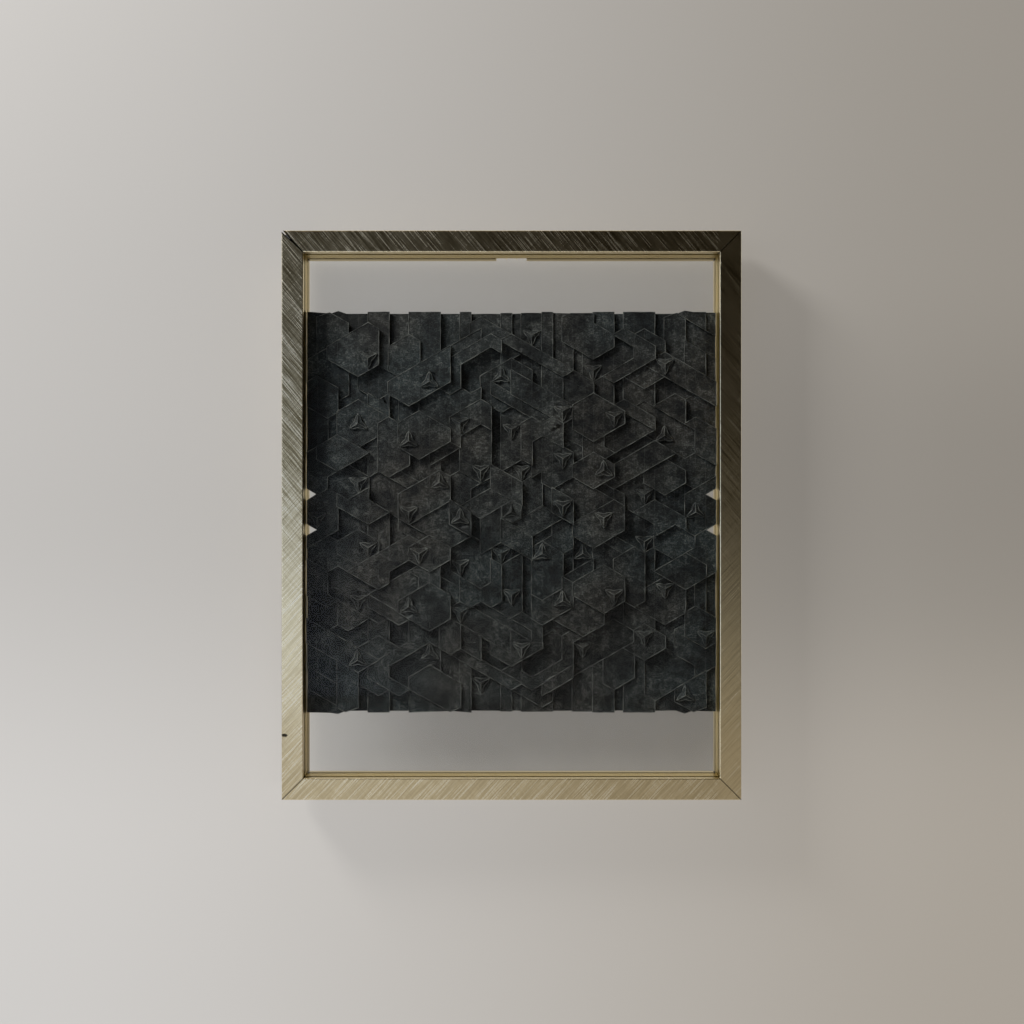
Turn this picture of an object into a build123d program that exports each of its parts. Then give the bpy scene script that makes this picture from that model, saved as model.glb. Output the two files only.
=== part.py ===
from build123d import *
from collections import defaultdict, namedtuple
from math import cos, hypot, pi, sin, sqrt
from random import Random
import os

# A folded paper tessellation held between two panes in a brass-coloured aluminium frame.
# X is the width, the front faces -Y, Z is up, and the frame stands on its lower edge at Z = 0.

# Frame outline and rail section
frame_width = 213.2
frame_height = 264.0
face_width = 10.0
outer_wall = 1.2
web_wall = 1.0
arris_radius = 0.45
mitre_gap = 0.06
open_mitre_gap = 0.5

# Corner keys in the outer chamber of the rails
key_thickness = 2.0
key_width = 12.0
key_leg = 25.0
key_clear = 0.2

# Panes, and the strips that hold them apart
glass_thickness = 1.5
glass_bite = 5.0
pane_clear = 0.1
spacer_depth = 6.2
spacer_clear = 0.3
front_lip = 3.2
rear_lip = 3.2

# Hanging notch in the rear lip of the top rail
notch_arches = 3
notch_pitch = 4.9
notch_radius = 2.3
notch_reach = 0.7
tooth_setback = 0.5

# A short gouge that runs in from the outer front edge of the left rail
gouge_height = 30.0
gouge_length = 2.9
gouge_radius = 0.65
gouge_slope = 8.0

# Folded sheet
sheet_columns = 40
sheet_rows = 34
sheet_side_clear = 0.3
sheet_raise = 1.65
sheet_thickness = 0.4
sheet_back_clear = 0.4
level_step = 0.58
level_count = 7
plate_lean = 0.03
pleat_lean = 0.015
fold_inset = 0.2
edge_trim = 0.85
edge_play = 0.7
tip_reach = 1.3
tip_draw_ratio = 0.2
tip_column = 17
notch_rows = (1, -2)
layout_seed = 11
plate_spacing = 3
shingle_play = 25.0
slender_share = 0.3
top_level = 5
fragment_cells = 4
tricorn_span_ratio = 0.88
tricorn_corner_ratio = 0.82
tricorn_side_ratio = 0.25
tricorn_lift = 1.1
tricorn_pocket = 0.4
tricorn_spacing = 13.0
tricorn_spread_ratio = 0.13

frame_depth = front_lip + 4 * pane_clear + 2 * glass_thickness + spacer_depth + rear_lip
front = -frame_depth / 2
opening_width = frame_width - 2 * face_width
opening_height = frame_height - 2 * face_width
glass_width = opening_width + 2 * glass_bite
glass_height = opening_height + 2 * glass_bite
chamber_depth = key_width + 2 * key_clear
chamber_span = key_thickness + 2 * key_clear
slot_start = outer_wall + chamber_span + web_wall
slot_depth = frame_depth - front_lip - rear_lip
front_glass_y = front + front_lip + pane_clear
spacer_y = front_glass_y + glass_thickness + pane_clear
rear_glass_y = spacer_y + spacer_depth + pane_clear
middle_z = frame_height / 2
sheet_y = spacer_y + spacer_depth - sheet_back_clear
sheet_middle_z = middle_z + sheet_raise
half_columns = sheet_columns // 2
column_pitch = (opening_width - 2 * sheet_side_clear) / sheet_columns
cell_edge = 2 * column_pitch / sqrt(3)

# Bounds of a plate between the grid lines of each family, its level, and its lean across and upward
Plate = namedtuple("Plate", "a b c level lean_x lean_z")

# A corner of a plate at a lattice point, between its first and last border edge
Wedge = namedtuple("Wedge", "point top first last inset_first inset_last")


def rail(plane, length, start_gap, end_gap):
    """A hollow rail on a plane whose X runs inward and Y to the rear, mitred at both ends."""
    with BuildPart() as piece:
        with BuildSketch(plane) as section:
            with BuildLine():
                Polyline(
                    (0, 0),
                    (face_width, 0),
                    (face_width, front_lip),
                    (slot_start, front_lip),
                    (slot_start, frame_depth - rear_lip),
                    (face_width, frame_depth - rear_lip),
                    (face_width, frame_depth),
                    (0, frame_depth),
                    close=True,
                )
            make_face()
            fillet(section.vertices().group_by(Axis.Y)[0], arris_radius)
            with Locations((outer_wall + chamber_span / 2, frame_depth / 2)):
                Rectangle(chamber_span, chamber_depth, mode=Mode.SUBTRACT)
        extrude(amount=length)
        for gap, end, way in ((start_gap, 0, -1), (end_gap, length, 1)):
            slope = (face_width + mitre_gap - gap) / face_width
            origin = plane.from_local_coords((0, 0, end))
            with BuildSketch(Plane(origin, x_dir=plane.x_dir, z_dir=plane.y_dir)):
                with BuildLine():
                    Polyline(
                        (-1, way * (gap - slope)),
                        (face_width + 1, way * (face_width + mitre_gap + slope)),
                        (face_width + 1, -way * face_width),
                        (-1, -way * face_width),
                        close=True,
                    )
                make_face()
            extrude(amount=frame_depth, mode=Mode.SUBTRACT)
    return piece.part


def lattice_cells():
    """Triangles of the folding grid, as lattice points of column and half row from the middle."""
    cells = []
    for column in range(-half_columns, sheet_columns - half_columns):
        zigzag = [(column + (row - column) % 2, row) for row in range(-sheet_rows, sheet_rows + 1)]
        cells += [zigzag[start : start + 3] for start in range(len(zigzag) - 2)]
        for end, inner in ((zigzag[0], zigzag[1]), (zigzag[-1], zigzag[-2])):
            cells.append([end, inner, (inner[0], end[1])])
    return [counter_clockwise(cell) for cell in cells if not in_side_notch(cell)]


def in_side_notch(cell):
    """True for the cells that are left out of the sheet's side edges."""
    columns = [point[0] for point in cell]
    rows = sorted(point[1] for point in cell)
    at_side = columns.count(half_columns) == 2 or columns.count(-half_columns) == 2
    return at_side and len(cell) == 3 and rows[1] in [2 * row + 1 for row in notch_rows]


def counter_clockwise(cell):
    """The cell with its points in order as seen from the front."""
    (ax, az), (bx, bz), (cx, cz) = (grid_place(point) for point in cell)
    turn = (bx - ax) * (cz - az) - (bz - az) * (cx - ax)
    return cell if turn > 0 else cell[::-1]


def grid_place(point):
    """Where a lattice point lies, from the sheet's middle."""
    return point[0] * column_pitch, point[1] * cell_edge / 2


def plate_round(a, b, spans, level, lean=(0, 0)):
    """A plate bounded by grid lines, with its spans before and after the middle in each family."""
    bounds = [(middle - low, middle + high) for middle, (low, high) in zip((a, b, a + b), spans)]
    return Plate(*bounds, level, *lean)


def half_turn(plate):
    """The same plate turned half round the sheet's middle."""
    bounds = [(-high, -low) for low, high in plate[:3]]
    return Plate(*bounds, plate.level, -plate.lean_x, -plate.lean_z)


def sixth_turn(plate):
    """The same plate turned by sixty degrees round the sheet's middle."""
    (a_low, a_high), (b_low, b_high), c_bounds = plate[:3]
    lean_x = plate.lean_x * cos(pi / 3) - plate.lean_z * sin(pi / 3)
    lean_z = plate.lean_x * sin(pi / 3) + plate.lean_z * cos(pi / 3)
    return Plate((-b_high, -b_low), c_bounds, (a_low, a_high), plate.level, lean_x, lean_z)


def pleats(pick):
    """Upright pleats side by side over the whole width, which show at the top and bottom."""
    strips = []
    column = -half_columns
    rise = 0
    everywhere = (-3 * sheet_rows, 3 * sheet_rows)
    while column < half_columns:
        width = pick.choice((1, 2, 2, 3))
        rise = pick.choice([value for value in (0, 1, 2) if value != rise])
        lean = pleat_lean * (-1) ** column
        strips.append(Plate((column, column + width), everywhere, everywhere, rise, lean, 0))
        column += width
    return strips


def tapered_plate(pick, a, b, level):
    """A six-sided plate, often a long one, upright beside the middle and slanting above and below it."""
    spans = [pick.choice(((2, 2), (2, 2), (2, 3), (3, 2), (1, 2), (2, 1))) for _ in range(3)]
    if pick.random() < slender_share:
        beside = 1.3 * abs(a) > abs(b + a / 2)
        narrow = pick.choice((0, 0, 0, 1, 2) if beside else (1, 2, 1, 2, 0))
        spans = [pick.choice(((3, 3), (3, 4), (4, 3))) for _ in range(3)]
        spans[narrow] = pick.choice(((1, 1), (1, 0), (0, 1), (1, 2)))
    lean = pick.uniform(-plate_lean, plate_lean), pick.uniform(-plate_lean, plate_lean)
    return plate_round(a, b, spans, level, lean)


def field(pick):
    """Plates shingled toward the middle, each with its twin half a turn round it."""
    shingles = []
    for ring_a in range(-6, 7):
        for ring_b in range(-8, 9):
            a = plate_spacing * ring_a + pick.choice((-1, 0, 0, 1))
            b = plate_spacing * ring_b - plate_spacing * ring_a // 2 + pick.choice((-1, 0, 0, 1))
            if (ring_a, ring_b) <= (0, 0) or abs(b + a / 2) > sheet_rows / 2 - 2:
                continue
            distance = hypot(*grid_place((a, 2 * b + a)))
            order = distance + pick.uniform(-shingle_play, shingle_play)
            level = round(top_level * (1 - distance / opening_width)) + pick.choice((-1, 0, 1))
            plate = tapered_plate(pick, a, b, level)
            shingles.append((-order, [plate, half_turn(plate)]))
    return [plate for _, twins in sorted(shingles, key=lambda shingle: shingle[0]) for plate in twins]


def hexagon_twist():
    """Six strips that leave a sunken hexagon in turn, on a wide hexagon of their own."""
    plates = [plate_round(0, 0, [(4, 4)] * 3, 2)]
    strip = Plate((-5, 2), (1, 3), (-2, 1), 4, plate_lean, plate_lean)
    for _ in range(6):
        plates.append(strip)
        strip = sixth_turn(strip)
    return plates + [plate_round(0, 0, [(1, 1)] * 3, 5)]


def pleats_and_plates():
    """Every plate of the design, where a later one lies over an earlier one."""
    pick = Random(layout_seed)
    return pleats(pick) + field(pick) + hexagon_twist()


def grid_lines(cell):
    """Position of a cell's middle between the three families of grid lines."""
    across = sum(point[0] for point in cell) / 3
    up = sum(point[1] for point in cell) / 6
    return across, up - across / 2, up + across / 2


def top_plate(plates, cell):
    """Number of the last plate that covers a cell."""
    lines = grid_lines(cell)
    fits = [all(low <= line <= high for line, (low, high) in zip(lines, plate[:3])) for plate in plates]
    return len(fits) - 1 - fits[::-1].index(True)


def neighbours(cells):
    """For each cell, the numbers of the cells that share an edge with it."""
    owners = {}
    for number, cell in enumerate(cells):
        for index in range(3):
            owners[(cell[index - 1], cell[index])] = number
    beside = defaultdict(list)
    for (start, end), number in owners.items():
        if (end, start) in owners:
            beside[number].append(owners[(end, start)])
    return beside


def without_fragments(cells, tops):
    """The cells' plates, where a fragment of few cells goes to the plate it borders most."""
    tops = list(tops)
    beside = neighbours(cells)
    for number in range(len(cells)):
        patch = [number]
        for member in patch:
            patch += [other for other in beside[member] if tops[other] == tops[number] and other not in patch]
            if len(patch) >= fragment_cells:
                break
        if len(patch) < fragment_cells:
            rivals = [tops[other] for member in patch for other in beside[member] if other not in patch]
            for member in patch:
                tops[member] = max(sorted(set(rivals)), key=rivals.count)
    return tops


def panels_in_steps(cells, plates, tops):
    """One plate for each joined patch of cells, at a level that steps off from those beside it."""
    beside = neighbours(cells)
    patch_of = {}
    patches = []
    for number in range(len(cells)):
        if number in patch_of:
            continue
        patch = [number]
        patch_of[number] = len(patches)
        for member in patch:
            for other in beside[member]:
                if other not in patch_of and tops[other] == tops[number]:
                    patch_of[other] = len(patches)
                    patch.append(other)
        patches.append(patch)
    levels = {}
    for index in sorted(range(len(patches)), key=lambda index: (tops[patches[index][0]], index)):
        wish = plates[tops[patches[index][0]]].level
        taken = [levels.get(patch_of[other]) for member in patches[index] for other in beside[member]]
        taken = {level for level in taken if level is not None}
        free = [level for level in range(level_count) if level not in taken] or range(level_count)
        levels[index] = min(free, key=lambda level: (abs(level - wish), level))
    panels = [plates[tops[patch[0]]]._replace(level=levels[index]) for index, patch in enumerate(patches)]
    return panels, [patch_of[number] for number in range(len(cells))]


def wedges_round(cells, tops):
    """For each lattice point on a border, the corners of the plates round it, counter-clockwise."""
    turns = defaultdict(dict)
    for cell, top in zip(cells, tops):
        for index in range(3):
            turns[cell[index]][cell[index - 2]] = (cell[index - 1], top)
    wedges = {}
    for point, steps in turns.items():
        ends = {last for last, _ in steps.values()}
        opens = [first for first in steps if first not in ends]
        changes = [last for last, top in steps.values() if last in steps and steps[last][1] != top]
        if not opens and not changes:
            continue
        first = (opens or changes)[0]
        runs = []
        for _ in steps:
            last, top = steps[first]
            if runs and runs[-1][0] == top:
                runs[-1][2] = last
            else:
                runs.append([top, first, last])
            first = last
        insets = [fold_inset] * (len(runs) + 1)
        if opens:
            insets[0] = insets[-1] = 0
        wedges[point] = [
            Wedge(point, top, first, last, *insets[index : index + 2])
            for index, (top, first, last) in enumerate(runs)
        ]
    return wedges


def is_plain(corners):
    """True where a border runs straight on between the same two plates, or along the sheet's edge."""
    if any(not is_straight(wedge) for wedge in corners):
        return False
    column, row = corners[0].point
    near_tip = abs(row) == sheet_rows and abs(abs(column) - tip_column) <= 1
    on_edge = corners[0].inset_first == 0
    return len(corners) == 1 and not near_tip if on_edge else len(corners) == 2


def directions(wedge):
    """Unit directions of a corner's first and last border edge."""
    x, z = grid_place(wedge.point)
    for end in (wedge.first, wedge.last):
        end_x, end_z = grid_place(end)
        length = hypot(end_x - x, end_z - z)
        yield (end_x - x) / length, (end_z - z) / length


def is_straight(wedge):
    (first_x, first_z), (last_x, last_z) = directions(wedge)
    return first_x * last_x + first_z * last_z < -0.999


def corner_place(wedge, plates):
    """A plate corner's place on the sheet, set in from the folds, with its height."""
    (first_x, first_z), (last_x, last_z) = directions(wedge)
    x, z = grid_place(wedge.point)
    turn = first_x * last_z - first_z * last_x
    if is_straight(wedge):
        x -= first_z * wedge.inset_first
        z += first_x * wedge.inset_first
    else:
        x += (last_x * wedge.inset_first + first_x * wedge.inset_last) / turn
        z += (last_z * wedge.inset_first + first_z * wedge.inset_last) / turn
    plate = plates[wedge.top]
    column, row = wedge.point
    if abs(row) == sheet_rows:
        from_tip = tip_column - abs(column)
        upright = all(end[0] == column or end[1] == row for end in (wedge.first, wedge.last))
        reach = tip_reach if from_tip == 0 else edge_play * (plate.level % 3) / 2 * upright
        z += (reach - edge_trim) * (1 if row > 0 else -1)
        if abs(from_tip) == 1:
            x += from_tip * tip_draw_ratio * column_pitch * (1 if column > 0 else -1)
    return x, z, height_at(plate, x, z)


def height_at(plate, x, z):
    """Height of a plate's surface over the sheet's back."""
    middle_x = sum(plate.a) / 2 * column_pitch
    middle_up = (sum(plate.b) + sum(plate.c)) / 4 * cell_edge
    return plate.level * level_step + plate.lean_x * (x - middle_x) + plate.lean_z * (z - middle_up)


def border_loops(wedges):
    """Closed runs of plate corners, each with its plate on the left."""
    arriving = {(wedge.point, wedge.last): wedge for corners in wedges.values() for wedge in corners}
    waiting = dict.fromkeys(arriving.values())
    loops = []
    while waiting:
        wedge = next(iter(waiting))
        loop = []
        while wedge in waiting:
            del waiting[wedge]
            loop.append(wedge)
            wedge = arriving[(wedge.first, wedge.point)]
        loops.append([wedge for wedge in loop if not is_plain(wedges[wedge.point])])
    return loops


def sheet_skin(plates, cells, tops):
    """Polygons of the sheet's front, as (outline, holes), and the edges along its rim."""
    wedges = wedges_round(cells, tops)
    place = {wedge: corner_place(wedge, plates) for corners in wedges.values() for wedge in corners}
    arriving = {(wedge.point, wedge.last): wedge for wedge in place}
    leaving = {(wedge.point, wedge.first): wedge for wedge in place}
    outlines = []
    holes = []
    triangles = []
    rim = []
    for loop in border_loops(wedges):
        polygon = [place[wedge] for wedge in loop]
        (outlines if signed_area(polygon) > 0 else holes).append((loop[0].top, polygon))
        for wedge, following in zip(loop, loop[1:] + loop[:1]):
            if wedge.inset_first == 0:
                rim.append((place[wedge], place[following]))
            elif wedge.point < following.point:
                start = place[arriving[(wedge.point, wedge.first)]]
                end = place[leaving[(following.point, following.last)]]
                triangles.append([place[wedge], start, end])
                triangles.append([place[wedge], end, place[following]])
    for corners in wedges.values():
        places = [place[wedge] for wedge in corners]
        triangles += [[places[0], *places[index : index + 2]] for index in range(1, len(places) - 1)]
        if len(places) > 1 and corners[0].inset_first == 0:
            rim.append((places[-1], places[0]))
    for top, centre, way in tricorn_places(plates, cells, tops, wedges):
        hexagon, facets = tricorn(plates[top], centre, way)
        holes.append((top, hexagon))
        triangles += facets
    polygons = [(outline, holes_inside(outline, top, holes)) for top, outline in outlines]
    return polygons + [(triangle, []) for triangle in triangles], rim


def signed_area(polygon):
    pairs = zip(polygon, polygon[1:] + polygon[:1])
    return sum(start[0] * end[1] - end[0] * start[1] for start, end in pairs) / 2


def holes_inside(outline, top, holes):
    """The holes that belong to the same plate and lie within an outline."""
    return [hole for hole_top, hole in holes if hole_top == top and encloses(outline, hole[0])]


def encloses(outline, point):
    inside = False
    for start, end in zip(outline, outline[1:] + outline[:1]):
        if (start[1] > point[1]) != (end[1] > point[1]):
            share = (point[1] - start[1]) / (end[1] - start[1])
            if point[0] < start[0] + share * (end[0] - start[0]):
                inside = not inside
    return inside


def tricorn_places(plates, cells, tops, wedges):
    """Middles of plates wide enough for a raised three-cornered fold, well apart."""
    found = []
    around = defaultdict(list)
    for cell, top in zip(cells, tops):
        for point in cell:
            around[point].append(top)
    middles = [point for point in around if point not in wedges and abs(point[1]) < sheet_rows - 2]
    for point in sorted(middles, key=lambda point: (hypot(*grid_place(point)), point)):
        x, z = grid_place(point)
        gaps = [hypot(x - grid_place(other)[0], z - grid_place(other)[1]) for _, other, _ in found]
        apart = tricorn_spacing + tricorn_spread_ratio * hypot(x, z)
        if min(gaps, default=apart) >= apart:
            found.append((around[point][0], point, len(found) % 3 > 0))
    return found


def tricorn(plate, point, way):
    """A raised triangle with sunken sides, as a hexagonal hole in its plate and the facets in it."""
    x, z = grid_place(point)

    def spoke(step, reach, lift):
        angle = pi / 6 + step * pi / 3 + way * pi
        spot_x = x + reach * cell_edge * cos(angle)
        spot_z = z + reach * cell_edge * sin(angle)
        return spot_x, spot_z, height_at(plate, spot_x, spot_z) + lift

    hexagon = [spoke(step, tricorn_span_ratio, 0) for step in range(6)]
    star = [spoke(step, tricorn_corner_ratio, 0) for step in range(6)]
    star[::2] = [spoke(step, tricorn_side_ratio, -tricorn_pocket) for step in (0, 2, 4)]
    peak = spoke(0, 0, tricorn_lift)
    facets = []
    for step in range(6):
        after = (step + 1) % 6
        facets.append([peak, star[step], star[after]])
        facets.append([star[step], hexagon[step], hexagon[after]])
        facets.append([star[step], hexagon[after], star[after]])
    return hexagon, facets


def sheet_faces():
    """Faces of the folded sheet: its front, its back one thickness behind, and the rim between."""
    cells = lattice_cells()
    plates = pleats_and_plates()
    tops = without_fragments(cells, [top_plate(plates, cell) for cell in cells])
    plates, tops = panels_in_steps(cells, plates, tops)
    skin, rim = sheet_skin(plates, cells, tops)
    lowest = min(height for outline, _ in skin for _, _, height in outline)

    def spot(point, behind=0.0):
        x, z, height = point
        return x, sheet_y - sheet_thickness - height + lowest + behind, sheet_middle_z + z

    faces = []
    for behind in (0.0, sheet_thickness):
        for outline, holes in skin:
            rings = [Wire.make_polygon([spot(point, behind) for point in ring]) for ring in (outline, *holes)]
            faces.append(Face(rings[0], rings[1:]))
    for start, end in rim:
        corners = [spot(start), spot(end), spot(end, sheet_thickness), spot(start, sheet_thickness)]
        faces.append(Face(Wire.make_polygon(corners)))
    return faces


left_plane = Plane((-frame_width / 2, front, 0), x_dir=(1, 0, 0), z_dir=(0, 0, 1))
right_plane = Plane((frame_width / 2, front, frame_height), x_dir=(-1, 0, 0), z_dir=(0, 0, -1))
bottom_plane = Plane((frame_width / 2, front, 0), x_dir=(0, 0, 1), z_dir=(-1, 0, 0))
top_plane = Plane((-frame_width / 2, front, frame_height), x_dir=(0, 0, -1), z_dir=(1, 0, 0))

with BuildPart() as left_rail:
    add(rail(left_plane, frame_height, mitre_gap, open_mitre_gap))
    gouge_end = (-frame_width / 2 + gouge_length, front - gouge_radius, gouge_height)
    outward = Vector(-1, 0, 0).rotate(Axis.Z, -gouge_slope)
    with BuildSketch(Plane(gouge_end, z_dir=outward)):
        Circle(gouge_radius)
    extrude(amount=2 * gouge_length, mode=Mode.SUBTRACT)

with BuildPart() as right_rail:
    add(rail(right_plane, frame_height, mitre_gap, mitre_gap))

with BuildPart() as bottom_rail:
    add(rail(bottom_plane, frame_width, mitre_gap, mitre_gap))

# The top rail has a row of arches in its rear lip, which a nail head hooks into
with BuildPart() as top_rail:
    add(rail(top_plane, frame_width, open_mitre_gap, mitre_gap))
    inner_edge = (0, front + frame_depth, frame_height - face_width)
    with BuildSketch(Plane(inner_edge, x_dir=(1, 0, 0), z_dir=(0, -1, 0))):
        with Locations((0, notch_reach)):
            with GridLocations(notch_pitch, 1, notch_arches, 1):
                Circle(notch_radius)
        Rectangle((notch_arches - 1) * notch_pitch + 2 * notch_radius, 2 * tooth_setback)
    extrude(amount=rear_lip, mode=Mode.SUBTRACT)

pieces = {
    "left_rail": left_rail,
    "right_rail": right_rail,
    "bottom_rail": bottom_rail,
    "top_rail": top_rail,
}

# Flat steel angles that join the rails inside their outer chambers
key_start = outer_wall + key_clear
for height_name, up in (("top", 1), ("bottom", -1)):
    for side_name, out in (("left", -1), ("right", 1)):
        corner = (out * frame_width / 2, 0, middle_z + up * frame_height / 2)
        with BuildPart() as corner_key:
            with BuildSketch(Plane(corner, x_dir=(-out, 0, 0), z_dir=(0, -out * up, 0))):
                with BuildLine():
                    Polyline(
                        (key_start, key_start),
                        (key_start + key_leg, key_start),
                        (key_start + key_leg, key_start + key_thickness),
                        (key_start + key_thickness, key_start + key_thickness),
                        (key_start + key_thickness, key_start + key_leg),
                        (key_start, key_start + key_leg),
                        close=True,
                    )
                make_face()
            extrude(amount=key_width / 2, both=True)
        pieces[f"corner_key_{height_name}_{side_name}"] = corner_key

for name, near_y in (("front_glass", front_glass_y), ("rear_glass", rear_glass_y)):
    with BuildPart() as pane:
        with BuildSketch(Plane((0, near_y + glass_thickness, middle_z), x_dir=(1, 0, 0), z_dir=(0, -1, 0))):
            Rectangle(glass_width, glass_height)
        extrude(amount=glass_thickness)
    pieces[name] = pane

# Strips between the panes, flush with the opening
spacer_start = slot_start + spacer_clear
spacer_width = face_width - spacer_start
spacer_plane = Plane((0, spacer_y + spacer_depth, middle_z), x_dir=(1, 0, 0), z_dir=(0, -1, 0))
for name, out, up in (("left", -1, 0), ("right", 1, 0), ("bottom", 0, -1), ("top", 0, 1)):
    offset_x = out * (opening_width + spacer_width) / 2
    offset_z = up * (opening_height + spacer_width) / 2
    with BuildPart() as spacer:
        with BuildSketch(spacer_plane):
            with Locations((offset_x, offset_z)):
                if up:
                    Rectangle(frame_width - 2 * spacer_start, spacer_width)
                else:
                    Rectangle(spacer_width, opening_height)
        extrude(amount=spacer_depth)
    pieces[f"spacer_{name}"] = spacer

with BuildPart() as folded_sheet:
    add(Solid(Shell(sheet_faces())))
pieces["folded_sheet"] = folded_sheet

os.makedirs("parts", exist_ok=True)
for name, piece in pieces.items():
    piece.part.label = name
    export_step(piece.part, f"parts/{name}.step")
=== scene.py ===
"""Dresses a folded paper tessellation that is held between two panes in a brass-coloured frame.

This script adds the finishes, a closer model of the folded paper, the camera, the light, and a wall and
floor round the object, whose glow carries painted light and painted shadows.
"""

from __future__ import annotations

import logging
import math
from collections import defaultdict
from dataclasses import dataclass, field
from enum import Enum

import bmesh
import bpy
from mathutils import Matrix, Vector, noise
from mathutils.kdtree import KDTree

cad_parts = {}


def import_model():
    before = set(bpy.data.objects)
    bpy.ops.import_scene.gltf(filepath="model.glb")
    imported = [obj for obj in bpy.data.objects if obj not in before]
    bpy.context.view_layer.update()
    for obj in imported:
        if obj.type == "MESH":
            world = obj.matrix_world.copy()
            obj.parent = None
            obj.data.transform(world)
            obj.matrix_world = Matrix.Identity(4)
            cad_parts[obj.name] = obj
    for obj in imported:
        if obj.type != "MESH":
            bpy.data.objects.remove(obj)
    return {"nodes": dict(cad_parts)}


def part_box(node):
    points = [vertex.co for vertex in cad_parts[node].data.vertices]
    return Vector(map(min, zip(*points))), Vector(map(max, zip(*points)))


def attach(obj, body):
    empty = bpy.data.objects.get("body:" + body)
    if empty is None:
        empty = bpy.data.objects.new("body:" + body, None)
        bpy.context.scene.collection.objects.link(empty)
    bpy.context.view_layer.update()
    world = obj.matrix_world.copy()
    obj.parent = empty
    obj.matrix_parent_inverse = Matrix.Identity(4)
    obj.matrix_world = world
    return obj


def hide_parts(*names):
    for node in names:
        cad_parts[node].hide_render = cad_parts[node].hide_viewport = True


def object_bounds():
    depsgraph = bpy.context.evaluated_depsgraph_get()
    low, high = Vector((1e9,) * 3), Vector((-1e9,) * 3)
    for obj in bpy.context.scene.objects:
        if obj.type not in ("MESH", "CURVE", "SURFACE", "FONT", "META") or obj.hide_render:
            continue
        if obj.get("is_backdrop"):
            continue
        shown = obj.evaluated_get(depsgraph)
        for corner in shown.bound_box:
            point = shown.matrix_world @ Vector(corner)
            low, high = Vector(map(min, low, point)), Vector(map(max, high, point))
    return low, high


log = logging.getLogger("framed_tessellation")

MILLIMETRE = 0.001
WELD = 0.002 * MILLIMETRE


class Axis(Enum):
    """The two directions in which the face of a rail is scratched."""

    RISING = 47.0
    FALLING = -50.0


class Signal:
    """A shader socket that takes part in plain arithmetic."""

    def __init__(self, graph: "Graph", socket: bpy.types.NodeSocket) -> None:
        """Keeps the socket with the graph that it belongs to.

        Args:
            graph: The material's graph.
            socket: The output socket to read.
        """
        self.graph = graph
        self.socket = socket

    def _math(self, operation: str, first: object, second: object = 0.0) -> "Signal":
        """Adds a Math node.

        Args:
            operation: Blender's name of the operation.
            first: The first value or signal.
            second: The second value or signal.

        Returns:
            The node's result.
        """
        return self.graph.add("ShaderNodeMath", {"operation": operation}, {0: first, 1: second})

    def __add__(self, other: object) -> "Signal":
        """The sum of both."""
        return self._math("ADD", self, other)

    def __radd__(self, other: object) -> "Signal":
        """The sum of both."""
        return self._math("ADD", other, self)

    def __sub__(self, other: object) -> "Signal":
        """This less the other."""
        return self._math("SUBTRACT", self, other)

    def __rsub__(self, other: object) -> "Signal":
        """The other less this."""
        return self._math("SUBTRACT", other, self)

    def __mul__(self, other: object) -> "Signal":
        """The product of both."""
        return self._math("MULTIPLY", self, other)

    def __rmul__(self, other: object) -> "Signal":
        """The product of both."""
        return self._math("MULTIPLY", other, self)

    def __truediv__(self, other: object) -> "Signal":
        """This divided by the other."""
        return self._math("DIVIDE", self, other)

    def __pow__(self, other: object) -> "Signal":
        """This to the power of the other."""
        return self._math("POWER", self, other)

    def largest(self, other: object) -> "Signal":
        """The larger of both."""
        return self._math("MAXIMUM", self, other)

    def smallest(self, other: object) -> "Signal":
        """The smaller of both."""
        return self._math("MINIMUM", self, other)

    def size(self) -> "Signal":
        """This without its sign."""
        return self._math("ABSOLUTE", self)

    def fraction(self) -> "Signal":
        """What is left past the whole number."""
        return self._math("FRACT", self)

    def ramp(self, low: float, high: float, start: float = 0.0, end: float = 1.0) -> "Signal":
        """Maps a range smoothly onto another and stays within it.

        Args:
            low: The value that gives start.
            high: The value that gives end.
            start: The result at low.
            end: The result at high.

        Returns:
            The mapped signal.
        """
        settings = {"interpolation_type": "SMOOTHSTEP"}
        values = {"Value": self, "From Min": low, "From Max": high, "To Min": start, "To Max": end}
        return self.graph.add("ShaderNodeMapRange", settings, values)


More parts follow.
